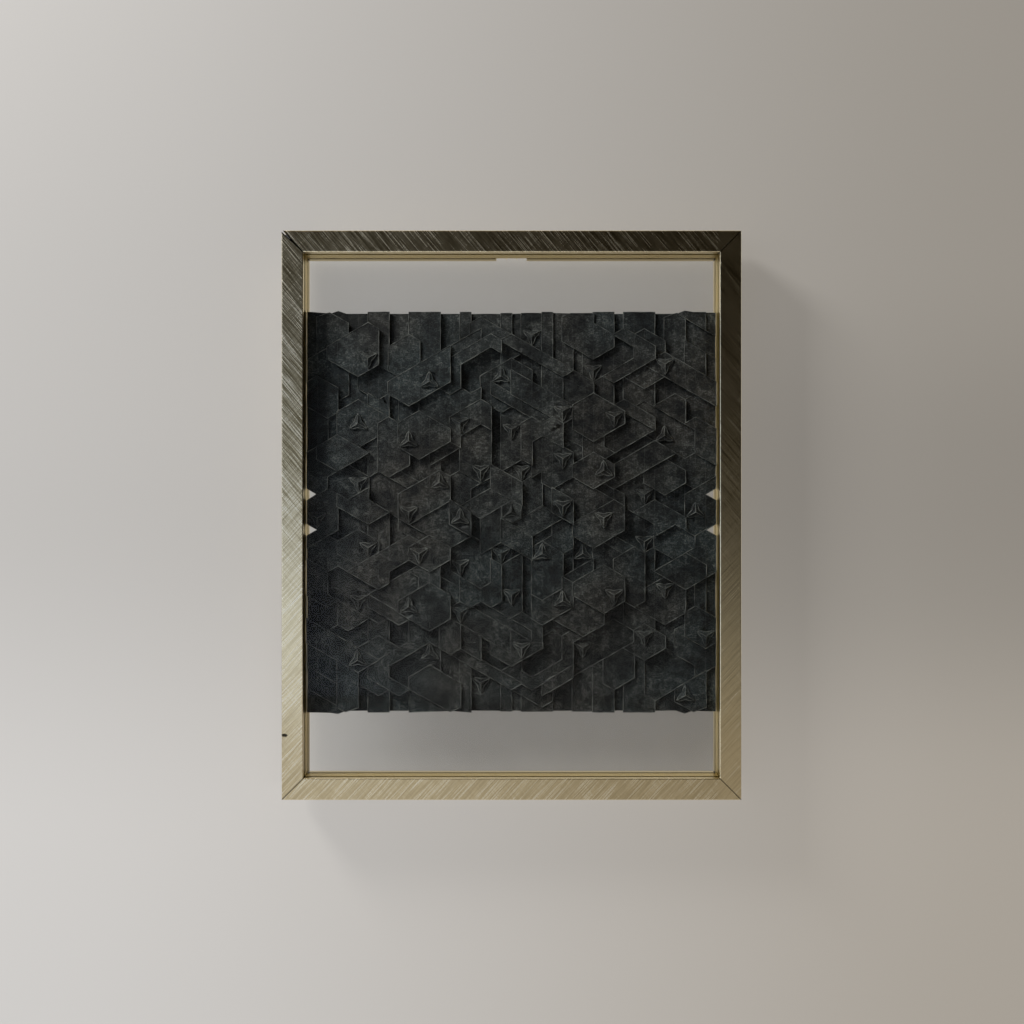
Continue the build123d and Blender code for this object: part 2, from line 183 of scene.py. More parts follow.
class Graph:
    """A material's or the world's nodes, made one call at a time."""

    def __init__(self, tree: bpy.types.NodeTree) -> None:
        """Starts from an empty tree.

        Args:
            tree: The tree to fill.
        """
        self.tree = tree
        tree.nodes.clear()

    @classmethod
    def material(cls, name: str) -> tuple["Graph", bpy.types.Material]:
        """Makes a new material.

        Args:
            name: The material's name.

        Returns:
            Its graph and the material.
        """
        material = bpy.data.materials.new(name)
        material.use_nodes = True
        return cls(material.node_tree), material

    def node(self, kind: str, settings: dict, values: dict) -> bpy.types.Node:
        """Adds one node, with its settings first and then its inputs.

        Args:
            kind: The node's type.
            settings: Attributes to set.
            values: Values, sockets or signals by input name or number.

        Returns:
            The node.
        """
        node = self.tree.nodes.new(kind)
        for name, value in settings.items():
            setattr(node, name, value)
        for name, value in values.items():
            target = node.inputs[name]
            if isinstance(value, Signal):
                self.tree.links.new(value.socket, target)
            elif isinstance(value, bpy.types.NodeSocket):
                self.tree.links.new(value, target)
            else:
                target.default_value = value
        return node

    def add(self, kind: str, settings: dict, values: dict, output: object = 0) -> Signal:
        """Adds one node and gives one of its outputs.

        Args:
            kind: The node's type.
            settings: Attributes to set.
            values: Values or signals by input name or number.
            output: Name or number of the output.

        Returns:
            The output as a signal.
        """
        return Signal(self, self.node(kind, settings, values).outputs[output])

    def place(self) -> Signal:
        """The point on the object, in metres."""
        return self.add("ShaderNodeTexCoord", {}, {}, "Object")

    def parts(self, vector: Signal) -> tuple[Signal, Signal, Signal]:
        """Splits a vector.

        Args:
            vector: The vector.

        Returns:
            Its X, Y and Z.
        """
        node = self.node("ShaderNodeSeparateXYZ", {}, {0: vector})
        return tuple(Signal(self, node.outputs[index]) for index in range(3))

    def vector(self, x: object, y: object, z: object) -> Signal:
        """A vector of three values or signals."""
        return self.add("ShaderNodeCombineXYZ", {}, {0: x, 1: y, 2: z})

    def noise(self, vector: Signal, scale: float, detail: float = 2.0, rough: float = 0.5) -> Signal:
        """Cloudy noise between 0 and 1.

        Args:
            vector: Where to read it.
            scale: Cells for each unit of the vector.
            detail: Finer layers to add.
            rough: Strength of each finer layer.

        Returns:
            The noise.
        """
        values = {"Vector": vector, "Scale": scale, "Detail": detail, "Roughness": rough}
        return self.add("ShaderNodeTexNoise", {"noise_dimensions": "3D"}, values)

    def blend(self, share: object, first: object, second: object) -> Signal:
        """Mixes two colours.

        Args:
            share: How much of the second.
            first: The first colour or signal.
            second: The second colour or signal.

        Returns:
            The mixed colour.
        """
        node = self.node("ShaderNodeMix", {"data_type": "RGBA"}, {0: share})
        for socket, value in ((node.inputs[6], first), (node.inputs[7], second)):
            if isinstance(value, Signal):
                self.tree.links.new(value.socket, socket)
            else:
                socket.default_value = (*value, 1.0)
        return Signal(self, node.outputs[2])

    def bump(self, height: Signal, distance: float) -> Signal:
        """A normal bent by a height between 0 and 1.

        Args:
            height: The height.
            distance: What a height of 1 stands for, in metres.

        Returns:
            The normal.
        """
        return self.add("ShaderNodeBump", {}, {"Height": height, "Distance": distance}, "Normal")

    def finish(self, values: dict) -> None:
        """Ends a material in a Principled shader.

        Args:
            values: Values or signals by input name.
        """
        shader = self.node("ShaderNodeBsdfPrincipled", {}, values)
        self.node("ShaderNodeOutputMaterial", {}, {"Surface": shader.outputs[0]})


@dataclass(frozen=True)
class BrushedBrass:
    """Brass-coloured anodised metal, scratched crosswise by a coarse brush, with painted glints and painted
    shade in its colour.
    """

    colour: tuple[float, float, float] = (0.64, 0.55, 0.36)
    # Painted shade in the scratch grooves.
    groove_shade_colour: tuple[float, float, float] = (0.17, 0.13, 0.055)
    # Pale colour of the painted glints on scratch ridges and of the arrises, which are partly wear and
    # partly painted highlight.
    wear_and_glint_colour: tuple[float, float, float] = (0.86, 0.80, 0.64)
    # Painted shade on the inner walls of the front lip.
    inner_wall_shade_colour: tuple[float, float, float] = (0.31, 0.235, 0.085)
    # Painted shade in the mitre gaps and the nick.
    painted_shade_colour: tuple[float, float, float] = (0.004, 0.0035, 0.003)
    scratch_width: float = 0.26 * MILLIMETRE
    scratch_length: float = 16.0 * MILLIMETRE
    scratch_depth: float = 0.03 * MILLIMETRE
    scratch_layers: tuple[tuple[float, float], ...] = ((0.60, 1.7), (0.40, 1.0))
    nick: tuple[float, float] = (1.3 * MILLIMETRE, 30.0 * MILLIMETRE)
    nick_stretch: float = 1.9
    nick_core: float = 0.60 * MILLIMETRE
    nick_radius: float = 0.95 * MILLIMETRE
    dark_depth: float = 2.0 * MILLIMETRE
    roughness: float = 0.17
    cross_start: float = 0.100
    cross_end: float = 0.185
    smooth_side: float = 0.095
    face_width: float = 10.0 * MILLIMETRE
    arris: float = 0.5 * MILLIMETRE
    joint_line: float = 0.18 * MILLIMETRE
    open_joint: float = 0.70 * MILLIMETRE

    def _scratches(self, graph: Graph, axis: Axis, offset: float) -> Signal:
        """Long straight scratches in one direction across the front.

        Args:
            graph: The material's graph.
            axis: The direction.
            offset: A shift that keeps two sets apart.

        Returns:
            Scratches as ridges between 0 and 1.
        """
        x, y, z = graph.parts(graph.place())
        turn = math.radians(axis.value)
        along = (x * math.cos(turn) + z * math.sin(turn)) / self.scratch_length
        across = (z * math.cos(turn) - x * math.sin(turn)) / self.scratch_width
        deep = y / self.scratch_width * 0.6
        total = None
        for share, width in self.scratch_layers:
            spot = graph.vector(along + offset * width, across / width, deep)
            layer = graph.noise(spot, 1.0, 1.0, 0.5) * share
            total = layer if total is None else total + layer
        return total

    def material(self, name: str, low: Vector, high: Vector) -> bpy.types.Material:
        """Makes the finish.

        Args:
            name: The material's name.
            low: The frame's lowest corner.
            high: The frame's highest corner.

        Returns:
            The material.
        """
        graph, material = Graph.material(name)
        x, y, z = graph.parts(graph.place())
        wander = graph.noise(graph.place(), 60.0, 1.0)
        upper = (z + wander * 0.03).ramp(self.cross_start, self.cross_end)
        rising = self._scratches(graph, Axis.RISING, 3.0) - 0.5
        falling = self._scratches(graph, Axis.FALLING, 9.0) - 0.5
        smooth = x.ramp(self.smooth_side, self.smooth_side + 0.002, 1.0, 0.5)
        front = y.ramp(low[1] + 0.1 * MILLIMETRE, low[1] + self.arris, 1.0, 0.12)
        scratch = (rising * (1.0 - upper * 0.8) + falling * (upper * 0.75 + 0.25)) * smooth * front
        # Painted glints: the scratch ridges are painted pale.
        pale = scratch.ramp(0.03, 0.14)
        # Painted shade: the grooves between the scratch ridges are darkened in the colour.
        groove_shade = scratch.ramp(0.01, -0.07)
        cloud = graph.noise(graph.place(), 35.0, 3.0, 0.6)

        middle = (low[2] + high[2]) / 2
        from_side = high[0] - x.size()
        from_end = (high[2] - middle) - (z - middle).size()
        from_edge = from_side.smallest(from_end)
        at_edge = from_edge.ramp(0.0, self.arris, 1.0, 0.0).largest(
            (self.face_width - from_edge).ramp(0.0, self.arris, 1.0, 0.0)
        )
        nibble = graph.noise(graph.place(), 900.0, 2.0).ramp(0.35, 0.6)
        # Pale scratch ridges are painted glints; the paler arrises are partly wear and partly painted
        # highlight.
        wear_and_glint = (pale * 0.80).largest(at_edge * front * (0.35 + nibble * 0.6))
        # Painted shade: the mitre gaps, widened at one inner corner, and the nick are painted near black.
        near = y.ramp(low[1] + self.dark_depth * 0.75, low[1] + self.dark_depth, 1.0, 0.0)
        open_corner = x.ramp(0.0, -MILLIMETRE) * z.ramp(middle, middle + MILLIMETRE) * near
        open_corner = open_corner * (1.0 - from_edge / self.face_width)
        nick_x = (x - low[0] - self.nick[0]) / self.nick_stretch
        nick_z = z - self.nick[1]
        nick_far = (nick_x * nick_x + nick_z * nick_z) ** 0.5
        nick = nick_far.ramp(self.nick_core, self.nick_radius, 1.0, 0.0) * near
        off_joint = (from_side - from_end).size() * math.sqrt(0.5) - open_corner * self.open_joint
        joint = off_joint.ramp(self.joint_line * 0.6, self.joint_line * 1.4, 1.0, 0.0)

        # Painted shade: the grooves are painted darker, most on the upper rail.
        tone = graph.blend(groove_shade * (upper * 0.55 + 0.22), self.colour, self.groove_shade_colour)
        tone = graph.blend(wear_and_glint, tone, self.wear_and_glint_colour)
        # Painted shade: the lip's inner walls are painted a darker olive than the face.
        inner = from_edge.ramp(self.face_width - 0.3 * MILLIMETRE, self.face_width - 0.1 * MILLIMETRE)
        inner = inner * y.ramp(low[1] + self.arris, low[1] + self.arris * 1.4)
        tone = graph.blend(inner, tone, self.inner_wall_shade_colour)
        graph.finish(
            {
                # Painted shade in the mitre gaps and the nick.
                "Base Color": graph.blend(joint.largest(nick) * 0.95, tone, self.painted_shade_colour),
                "Metallic": 1.0,
                "Roughness": self.roughness + pale * 0.08 + cloud * 0.06 + (1.0 - front) * 0.15,
                "Normal": graph.bump(scratch + 0.5, self.scratch_depth),
            }
        )
        return material


@dataclass(frozen=True)
class SatinBrass:
    """The plain brass-coloured strips between the panes."""

    colour: tuple[float, float, float] = (0.31, 0.225, 0.060)
    roughness: float = 0.36

    def material(self, name: str) -> bpy.types.Material:
        """Makes the finish.

        Args:
            name: The material's name.

        Returns:
            The material.
        """
        graph, material = Graph.material(name)
        x, y, z = graph.parts(graph.place())
        streaks = graph.noise(graph.vector(x * 60.0, y * 4000.0, z * 60.0), 1.0, 2.0)
        graph.finish(
            {
                "Base Color": self.colour + (1.0,),
                "Metallic": 1.0,
                "Roughness": self.roughness + streaks * 0.12,
                "Normal": graph.bump(streaks, 0.01 * MILLIMETRE),
            }
        )
        return material


@dataclass(frozen=True)
class KeySteel:
    """Zinc-coated steel, painted dark as painted shade inside the hollow rails."""

    # Painted shade: a dark colour for steel that sits in the rails' shade.
    colour: tuple[float, float, float] = (0.10, 0.10, 0.10)

    def material(self, name: str) -> bpy.types.Material:
        """Makes the finish.

        Args:
            name: The material's name.

        Returns:
            The material.
        """
        graph, material = Graph.material(name)
        spangle = graph.noise(graph.place(), 400.0, 2.0)
        graph.finish(
            {
                "Base Color": self.colour + (1.0,),
                "Metallic": 1.0,
                "Roughness": 0.35 + spangle * 0.2,
                "Normal": graph.bump(spangle, 0.02 * MILLIMETRE),
            }
        )
        return material


@dataclass(frozen=True)
class ClearPane:
    """Clear float glass that mirrors a little more at a flat angle."""

    tint: tuple[float, float, float] = (0.996, 0.998, 0.997)
    refraction: float = 1.45
    mirror_share: float = 0.26

    def material(self, name: str) -> bpy.types.Material:
        """Makes the finish.

        Args:
            name: The material's name.

        Returns:
            The material.
        """
        graph, material = Graph.material(name)
        material.surface_render_method = "BLENDED"
        fresnel = graph.add("ShaderNodeFresnel", {}, {"IOR": self.refraction})
        inside = graph.add("ShaderNodeNewGeometry", {}, {}, "Backfacing")
        smears = graph.noise(graph.place(), 30.0, 3.0).ramp(0.4, 0.8, 0.0, 0.05)
        clear = graph.node("ShaderNodeBsdfTransparent", {}, {"Color": self.tint + (1.0,)})
        coat = {"Color": (1.0, 1.0, 1.0, 1.0), "Roughness": smears + 0.01}
        mirror = graph.node("ShaderNodeBsdfAnisotropic", {}, coat)
        share = fresnel * (1.0 - inside) * self.mirror_share
        mixed = graph.node("ShaderNodeMixShader", {}, {0: share, 1: clear.outputs[0], 2: mirror.outputs[0]})
        graph.node("ShaderNodeOutputMaterial", {}, {"Surface": mixed.outputs[0]})
        return material


@dataclass(frozen=True)
class SlatePaper:
    """Dark marbled paper with pale flecks, and faint lines where the grid was creased before folding."""

    dark: tuple[float, float, float] = (0.0015, 0.0022, 0.0026)
    cool: tuple[float, float, float] = (0.0135, 0.0195, 0.0210)
    warm: tuple[float, float, float] = (0.0230, 0.0218, 0.0192)
    fleck: tuple[float, float, float] = (0.115, 0.122, 0.112)
    crease_pitch: float = 4.815 * MILLIMETRE
    crease_width: float = 0.16 * MILLIMETRE
    cloud_size: float = 3.0 * MILLIMETRE
    fleck_size: float = 0.60 * MILLIMETRE
    roughness: float = 0.62

    def _creases(self, graph: Graph, middle_z: float) -> Signal:
        """Lines of the triangular grid.

        Args:
            graph: The material's graph.
            middle_z: Height of the sheet's middle.

        Returns:
            One on a line and zero off it.
        """
        x, _, z = graph.parts(graph.place())
        up = (z - middle_z) * math.cos(math.pi / 6)
        across = x * math.sin(math.pi / 6)
        lines = None
        for line in (x, up - across, up + across):
            off_line = ((line / self.crease_pitch + 0.5).fraction() - 0.5).size() * self.crease_pitch
            mark = off_line.ramp(0.0, self.crease_width, 1.0, 0.0)
            lines = mark if lines is None else lines.largest(mark * 0.7)
        return lines * graph.noise(graph.place(), 180.0, 2.0).ramp(0.35, 0.65)

    def material(self, name: str, middle_z: float, burnish_and_highlight: float = 0.0) -> bpy.types.Material:
        """Makes the finish.

        Args:
            name: The material's name.
            middle_z: Height of the sheet's middle.
            burnish_and_highlight: How much paler and smoother it is, as on a fold's ridge; the paleness is
                partly burnishing and partly a painted highlight.

        Returns:
            The material.
        """
        graph, material = Graph.material(name)
        spot = graph.place()
        cloud = graph.noise(spot, 1.0 / self.cloud_size, 5.0, 0.62).ramp(0.40, 0.62)
        broad = graph.noise(spot, 70.0, 3.0).ramp(0.36, 0.64)
        patches = graph.noise(spot, 14.0, 2.0).ramp(0.38, 0.62)
        # Painted highlight: fold ridges are painted paler, partly as burnishing.
        rubbed_and_highlight = graph.noise(spot, 240.0, 3.0).ramp(0.40, 0.66, 0.15, 1.0) * burnish_and_highlight
        x, y, z = graph.parts(spot)
        fibres = graph.noise(graph.vector(x * 0.35, y, z), 1.0 / self.fleck_size, 3.0, 0.7)
        specks = graph.noise(spot, 0.8 / self.fleck_size, 3.0, 0.75)
        flecks = fibres.ramp(0.46, 0.72) * 0.7 + specks.ramp(0.46, 0.72) * 0.7
        creases = self._creases(graph, middle_z)
        light = graph.blend(patches, self.cool, self.warm)
        ground = graph.blend(cloud * 0.45 + broad * 0.55, self.dark, light)
        pale = flecks * (0.10 + cloud * broad * 0.60) + creases * 0.20 + rubbed_and_highlight
        colour = graph.blend(pale, ground, self.fleck)
        grain = graph.noise(spot, 5000.0, 3.0, 0.6)
        wrinkles = graph.noise(spot, 900.0, 4.0, 0.55)
        relief = grain * 0.25 + wrinkles * 0.75 + creases * 0.8
        graph.finish(
            {
                "Base Color": colour,
                "Roughness": self.roughness - burnish_and_highlight * 0.3 + cloud * 0.12,
                "Specular IOR Level": 0.11,
                "Normal": graph.bump(relief, 0.09 * MILLIMETRE),
            }
        )
        return material


@dataclass
class Plate:
    """One flat panel of the folded sheet."""

    faces: list[int]
    normal: Vector
    point: Vector

    def depth(self, x: float, z: float) -> float:
        """The panel's Y at a place across the sheet."""
        off = self.normal.x * (x - self.point.x) + self.normal.z * (z - self.point.z)
        return self.point.y - off / self.normal.y


@dataclass
class Pinch:
    """A raised triangle with hollow sides, in a six-sided field of a panel."""

    middle: Vector
    span: float
    turn: float
    index: int
    waist: float = 0.40
    tip: float = 0.96
    top: float = 1.25 * MILLIMETRE
    side_height: float = 0.60 * MILLIMETRE
    tip_height: float = 0.40 * MILLIMETRE
    pocket: float = 0.55 * MILLIMETRE

    def _rim(self, angle: float) -> tuple[float, float, float]:
        """The triangle's outline in one direction.

        Args:
            angle: The direction.

        Returns:
            How far the direction is from a tip (0) to a side (1), and the outline's distance and height.
        """
        third = 2 * math.pi / 3
        side = abs((angle - self.turn + third / 2) % third - third / 2) / (third / 2)
        reach = self.span * (self.waist + (self.tip - self.waist) * (1.0 - side) ** 1.9)
        return side, reach, self.tip_height + (self.side_height - self.tip_height) * side

    def lift(self, x: float, z: float) -> float | None:
        """Height over the panel at a place, or None outside the field.

        Args:
            x: The place's X.
            z: The place's Z.

        Returns:
            The height.
        """
        away = Vector((x, z)) - self.middle
        angle = math.atan2(away.y, away.x)
        sixth = math.pi / 3
        edge = self.span * math.cos(sixth / 2) / math.cos((angle - self.turn) % sixth - sixth / 2)
        if away.length > edge * 0.999:
            return None
        side, reach, height = self._rim(angle)
        if away.length <= reach:
            return height + (self.top - height) * (1.0 - away.length / reach) ** (1.0 + side)
        return -self.pocket * side * (1.0 - (away.length - reach) / (edge - reach)) ** 0.7

    def crests(self) -> list[list[tuple[float, float, float]]]:
        """Lines of X, Z and height along the triangle's outline and its three ridges."""
        outline = []
        for step in range(25):
            angle = self.turn + step * math.pi / 12
            _, reach, height = self._rim(angle)
            outline.append((angle, reach, height))
        lines = [outline]
        for corner in range(3):
            angle = self.turn + corner * 2 * math.pi / 3
            _, reach, height = self._rim(angle)
            ridge = []
            for share in (step / 4 for step in range(5)):
                ridge.append((angle, reach * share, height + (self.top - height) * (1.0 - share)))
            lines.append(ridge)
        x, z = self.middle
        return [
            [(x + far * math.cos(angle), z + far * math.sin(angle), height) for angle, far, height in line]
            for line in lines
        ]


@dataclass
class FoldedSheet:
    """The folded paper: panels that lie over each other, joined by folds that tuck back under."""

    node: bpy.types.Object
    thickness: float = 0.4 * MILLIMETRE
    spread: float = 0.48 * MILLIMETRE
    corner_reach: float = 2.4 * MILLIMETRE
    panel_area: float = 18.0 * MILLIMETRE**2
    facet_length: float = 2.6 * MILLIMETRE
    facet_rounds: int = 5
    curl: float = 0.26 * MILLIMETRE
    ripple: float = 0.20 * MILLIMETRE
    stray: float = 0.13 * MILLIMETRE
    pinch_facet: float = 0.84 * MILLIMETRE
    most_triangles: int = 195_000
    ridge_radius: float = 0.17 * MILLIMETRE
    # Paler fold ridges: partly burnishing, partly a painted highlight.
    ridge_burnish_and_highlight: float = 0.70
    facing: float = 0.99
    level: float = 0.99999
    flat_angle: float = 0.02
    sharp_angle: float = 0.6
    rim_slope: float = 0.02
    least_turn: float = 0.05
    twin_distance: float = 0.02 * MILLIMETRE
    finish: SlatePaper = field(default_factory=SlatePaper)

    def build(self) -> bpy.types.Object:
        """Builds the sheet and puts it in place of the plain one.

        Returns:
            The finished piece.
        """
        shape = bmesh.new()
        shape.from_mesh(self.node.data)
        bmesh.ops.remove_doubles(shape, verts=shape.verts, dist=WELD)
        shape.normal_update()
        panels = self._panels(shape)
        self._lay_over(shape, panels)
        pinches = self._pinches(shape)
        self._refine(shape)
        self._raise_pinches(shape, panels, pinches)
        ridges = self._ripple(shape, panels, pinches)
        mesh = bpy.data.meshes.new("folded_paper")
        shape.to_mesh(mesh)
        shape.free()
        piece = bpy.data.objects.new("folded_paper", mesh)
        bpy.context.scene.collection.objects.link(piece)
        low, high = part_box("folded_sheet")
        middle_z = (low[2] + high[2]) / 2
        mesh.materials.append(self.finish.material("marbled_paper", middle_z))
        ridge_finish = self.finish.material("burnished_and_highlit_fold", middle_z, self.ridge_burnish_and_highlight)
        self._join_ridges(piece, ridges, ridge_finish)
        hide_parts("folded_sheet")
        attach(piece, "root")
        triangles = sum(len(polygon.vertices) - 2 for polygon in piece.data.polygons)
        log.info("folded paper: %d panels, %d triangles", len(panels), triangles)
        if triangles > self.most_triangles:
            raise ValueError(f"the folded paper has {triangles} triangles")
        return piece

    def _panels(self, shape: bmesh.types.BMesh) -> list[Plate]:
        """Finds the flat panels on the front and numbers their faces.

        Args:
            shape: The sheet's mesh.

        Returns:
            The panels.
        """
        shape.faces.ensure_lookup_table()
        number = shape.faces.layers.int.new("panel")
        panels = []
        seen = set()
        for face in shape.faces:
            face[number] = 0
        for seed in shape.faces:
            if seed.index in seen or abs(seed.normal.y) < self.facing:
                continue
            patch = [seed]
            seen.add(seed.index)
            for face in patch:
                for edge in face.edges:
                    for other in edge.link_faces:
                        level = other.normal.dot(seed.normal) > self.level
                        if level and other.index not in seen:
                            seen.add(other.index)
                            patch.append(other)
            if sum(face.calc_area() for face in patch) < self.panel_area:
                continue
            members = [face.index for face in patch]
            panels.append(Plate(members, seed.normal.copy(), seed.verts[0].co.copy()))
            way = -1 if seed.normal.y < 0 else 1
            for face in patch:
                face[number] = -way * len(panels)
        return panels

    def _lay_over(self, shape: bmesh.types.BMesh, panels: list[Plate]) -> None:
        """Spreads every panel under and over its neighbours.

        Args:
            shape: The sheet's mesh.
            panels: The flat panels.
        """
        number = shape.faces.layers.int["panel"]
        in_panel = {vert for face in shape.faces if face[number] for vert in face.verts}
        moves = {}
        for index, panel in enumerate(panels, 1):
            if panel.normal.y > 0:
                continue
            pulls = defaultdict(list)
            for face in (shape.faces[place] for place in panel.faces):
                for loop in face.loops:
                    self._edge_pull(loop, index, number, in_panel, pulls)
            for vert, pull in pulls.items():
                moves[vert] = self._move(vert, pull, panel)
        behind = KDTree(len(moves))
        for place, vert in enumerate(moves):
            behind.insert(vert.co + Vector((0.0, self.thickness, 0.0)), place)
        behind.balance()
        listed = list(moves.values())
        for vert in in_panel.difference(moves):
            _, place, distance = behind.find(vert.co)
            if distance < self.twin_distance:
                vert.co += listed[place]
        for vert, move in moves.items():
            vert.co += move

    def _edge_pull(
        self,
        loop: bmesh.types.BMLoop,
        index: int,
        number: bmesh.types.BMLayerItem,
        in_panel: set[bmesh.types.BMVert],
        pulls: dict[bmesh.types.BMVert, list],
    ) -> None:
        """Notes how far a panel's border edge pulls each of its ends outward.

        Args:
            loop: The face corner that starts the edge.
            index: The panel's number.
            number: The layer of panel numbers.
            in_panel: All points on panels.
            pulls: Where the pulls are noted.
        """
        others = [face for face in loop.edge.link_faces if abs(face[number]) != index]
        if not others:
            return
        start, end = loop.vert, loop.link_loop_next.vert
        along = Vector((end.co.x - start.co.x, end.co.z - start.co.z))
        outward = Vector((along.y, -along.x)) / along.length
        on_rim = abs(others[0].normal.y) < self.rim_slope
        on_peak = any(vert not in in_panel for vert in others[0].verts)
        pull = 0.0 if on_rim or on_peak else self.spread
        for vert in (start, end):
            pulls[vert].append((outward, pull))

    def _move(self, vert: bmesh.types.BMVert, pull: list, panel: Plate) -> Vector:
        """Works out a border point's move from the pulls of its two edges.

        Args:
            vert: The point.
            pull: Outward direction and reach of each edge.
            panel: The panel.

        Returns:
            The move, along the panel.
        """
        (first, reach_1), (second, reach_2) = pull[0], pull[-1]
        turn = first.x * second.y - first.y * second.x
        if abs(turn) < self.least_turn:
            shift = first * (reach_1 + reach_2) / 2
        else:
            shift = Vector(
                (
                    (reach_1 * second.y - reach_2 * first.y) / turn,
                    (reach_2 * first.x - reach_1 * second.x) / turn,
                )
            )
        if shift.length > self.corner_reach:
            shift *= self.corner_reach / shift.length
        x, z = vert.co.x + shift.x, vert.co.z + shift.y
        return Vector((x, panel.depth(x, z), z)) - vert.co

    @staticmethod
    def _pinches(shape: bmesh.types.BMesh) -> list[Pinch]:
        """Finds the raised three-cornered folds and counts their facets to the panels round them.

        Args:
            shape: The sheet's mesh.

        Returns:
            The folds on the front.
        """
        number = shape.faces.layers.int["panel"]
        in_panel = {vert for face in shape.faces if face[number] for vert in face.verts}
        pinches = []
        for peak in shape.verts:
            near = {edge.other_vert(peak) for edge in peak.link_edges}
            sides = near - in_panel
            if len(near) != 6 or len(sides) != 3 or peak in in_panel:
                continue
            around = {edge.other_vert(side) for side in sides for edge in side.link_edges}
            field_rim = around - near - {peak}
            index = max((face[number] for vert in field_rim for face in vert.link_faces), key=abs)
            if index < 0:
                continue
            for side in (peak, *sides):
                for face in side.link_faces:
                    face[number] = index
            corners = [Vector((vert.co.x, vert.co.z)) for vert in field_rim]
            middle = sum(corners, Vector((0.0, 0.0))) / len(corners)
            tip = next(iter(near - sides)).co
            spans = [(corner - middle).length for corner in corners]
            turn = math.atan2(tip.z - middle.y, tip.x - middle.x)
            pinches.append(Pinch(middle, min(spans), turn, index))
        return pinches

    def _raise_pinches(self, shape: bmesh.types.BMesh, panels: list[Plate], pinches: list[Pinch]) -> None:
        """Divides the fields of the raised folds finely and gives them their form.

        Args:
            shape: The sheet's mesh.
            panels: The flat panels.
            pinches: The raised folds.
        """
        number = shape.faces.layers.int["panel"]
        middles = KDTree(len(pinches))
        for place, pinch in enumerate(pinches):
            middles.insert((pinch.middle.x, 0.0, pinch.middle.y), place)
        middles.balance()

        def lift(spot: Vector) -> float | None:
            """Height over the panel at a point, from the nearest raised fold."""
            pinch = pinches[middles.find((spot.x, 0.0, spot.z))[1]]
            return pinch.lift(spot.x, spot.z)

        for _ in range(self.facet_rounds):
            wide = []
            for edge in shape.edges:
                start, end = (vert.co for vert in edge.verts)
                if edge.link_faces[0][number] <= 0 or edge.calc_length() < self.pinch_facet:
                    continue
                inside = lift((start + end) / 2) is not None
                if inside or edge.calc_length() > 2 * self.pinch_facet and (lift(start) or lift(end)):
                    wide.append(edge)
            bmesh.ops.subdivide_edges(shape, edges=wide, cuts=1)
            bmesh.ops.triangulate(shape, faces=[face for face in shape.faces if len(face.verts) > 3])
        for vert in shape.verts:
            index = vert.link_faces[0][number]
            height = lift(vert.co) if index > 0 else None
            if height is not None:
                vert.co.y = panels[index - 1].depth(vert.co.x, vert.co.z) - height

    def _refine(self, shape: bmesh.types.BMesh) -> None:
        """Divides the faces until each is small enough to bend.

        Args:
            shape: The sheet's mesh.
        """
        number = shape.faces.layers.int["panel"]
        rounds = self.facet_rounds
        for _ in range(rounds):
            wide = {edge for face in shape.faces if face[number] > 0 for edge in face.edges}
            wide = [edge for edge in wide if edge.calc_length() > self.facet_length]
            bmesh.ops.subdivide_edges(shape, edges=wide, cuts=1)
            bmesh.ops.triangulate(shape, faces=[face for face in shape.faces if len(face.verts) > 3])
            inner = [
                edge
                for edge in shape.edges
                if len({face[number] for face in edge.link_faces}) == 1
                and len(edge.link_faces) == 2
                and edge.link_faces[0][number] != 0
                and edge.calc_face_angle(0.0) < self.flat_angle
            ]
            bmesh.ops.beautify_fill(shape, faces=shape.faces[:], edges=inner, method="ANGLE")

    def _ripple(
        self, shape: bmesh.types.BMesh, panels: list[Plate], pinches: list[Pinch]
    ) -> list[tuple[Vector, Vector]]:
        """Bends the panels a little, marks the folds sharp and lists their front ridges.

        Args:
            shape: The sheet's mesh.
            panels: The flat panels.
            pinches: The raised folds.

        Returns:
            The ends of each ridge.
        """
        number = shape.faces.layers.int["panel"]
        members = defaultdict(set)
        for face in shape.faces:
            face.smooth = True
            if face[number] > 0:
                members[face[number]].update(face.verts)
        ridges = []
        for index, verts in members.items():
            middle = sum((vert.co for vert in verts), Vector()) / len(verts)
            low = Vector(min((vert.co.x, vert.co.z) for vert in verts))
            seed = Vector((round(low.x * 2e3), 0.0, round(low.y * 2e3)))
            reach = max((vert.co - middle).length for vert in verts)
            lift = self.curl * (0.3 + noise.noise(seed * 0.37 + Vector((0.5, 0.5, 0.5))))

            def bend(spot: Vector) -> Vector:
                """Moves a point of this panel by its curl, its ripple and its stray."""
                flat = Vector((spot.x, 0.0, spot.z))
                wave = noise.noise(flat * 170.0 + seed * 0.11) + 0.4 * noise.noise(flat * 520.0)
                back = lift * ((spot - middle).length / reach) ** 2 + self.ripple * wave * 0.5
                stray_x = self.stray * noise.noise(flat * 110.0 + seed)
                stray_z = self.stray * noise.noise(flat * 110.0 - seed)
                return spot + Vector((stray_x, -back, stray_z))

            for pinch in pinches:
                if pinch.index == index:
                    for line in pinch.crests():
                        panel = panels[index - 1]
                        spots = [bend(Vector((x, panel.depth(x, z) - up, z))) for x, z, up in line]
                        ridges.extend(zip(spots, spots[1:]))
            for vert in verts:
                vert.co = bend(vert.co)
        shape.normal_update()
        for edge in shape.edges:
            kinds = {face[number] for face in edge.link_faces}
            within = len(kinds) == 1 and 0 not in kinds
            edge.smooth = within and edge.calc_face_angle(0.0) < self.sharp_angle
            if len(kinds) == 2 and max(kinds) > 0:
                ridges.append((edge.verts[0].co.copy(), edge.verts[1].co.copy()))
        return ridges

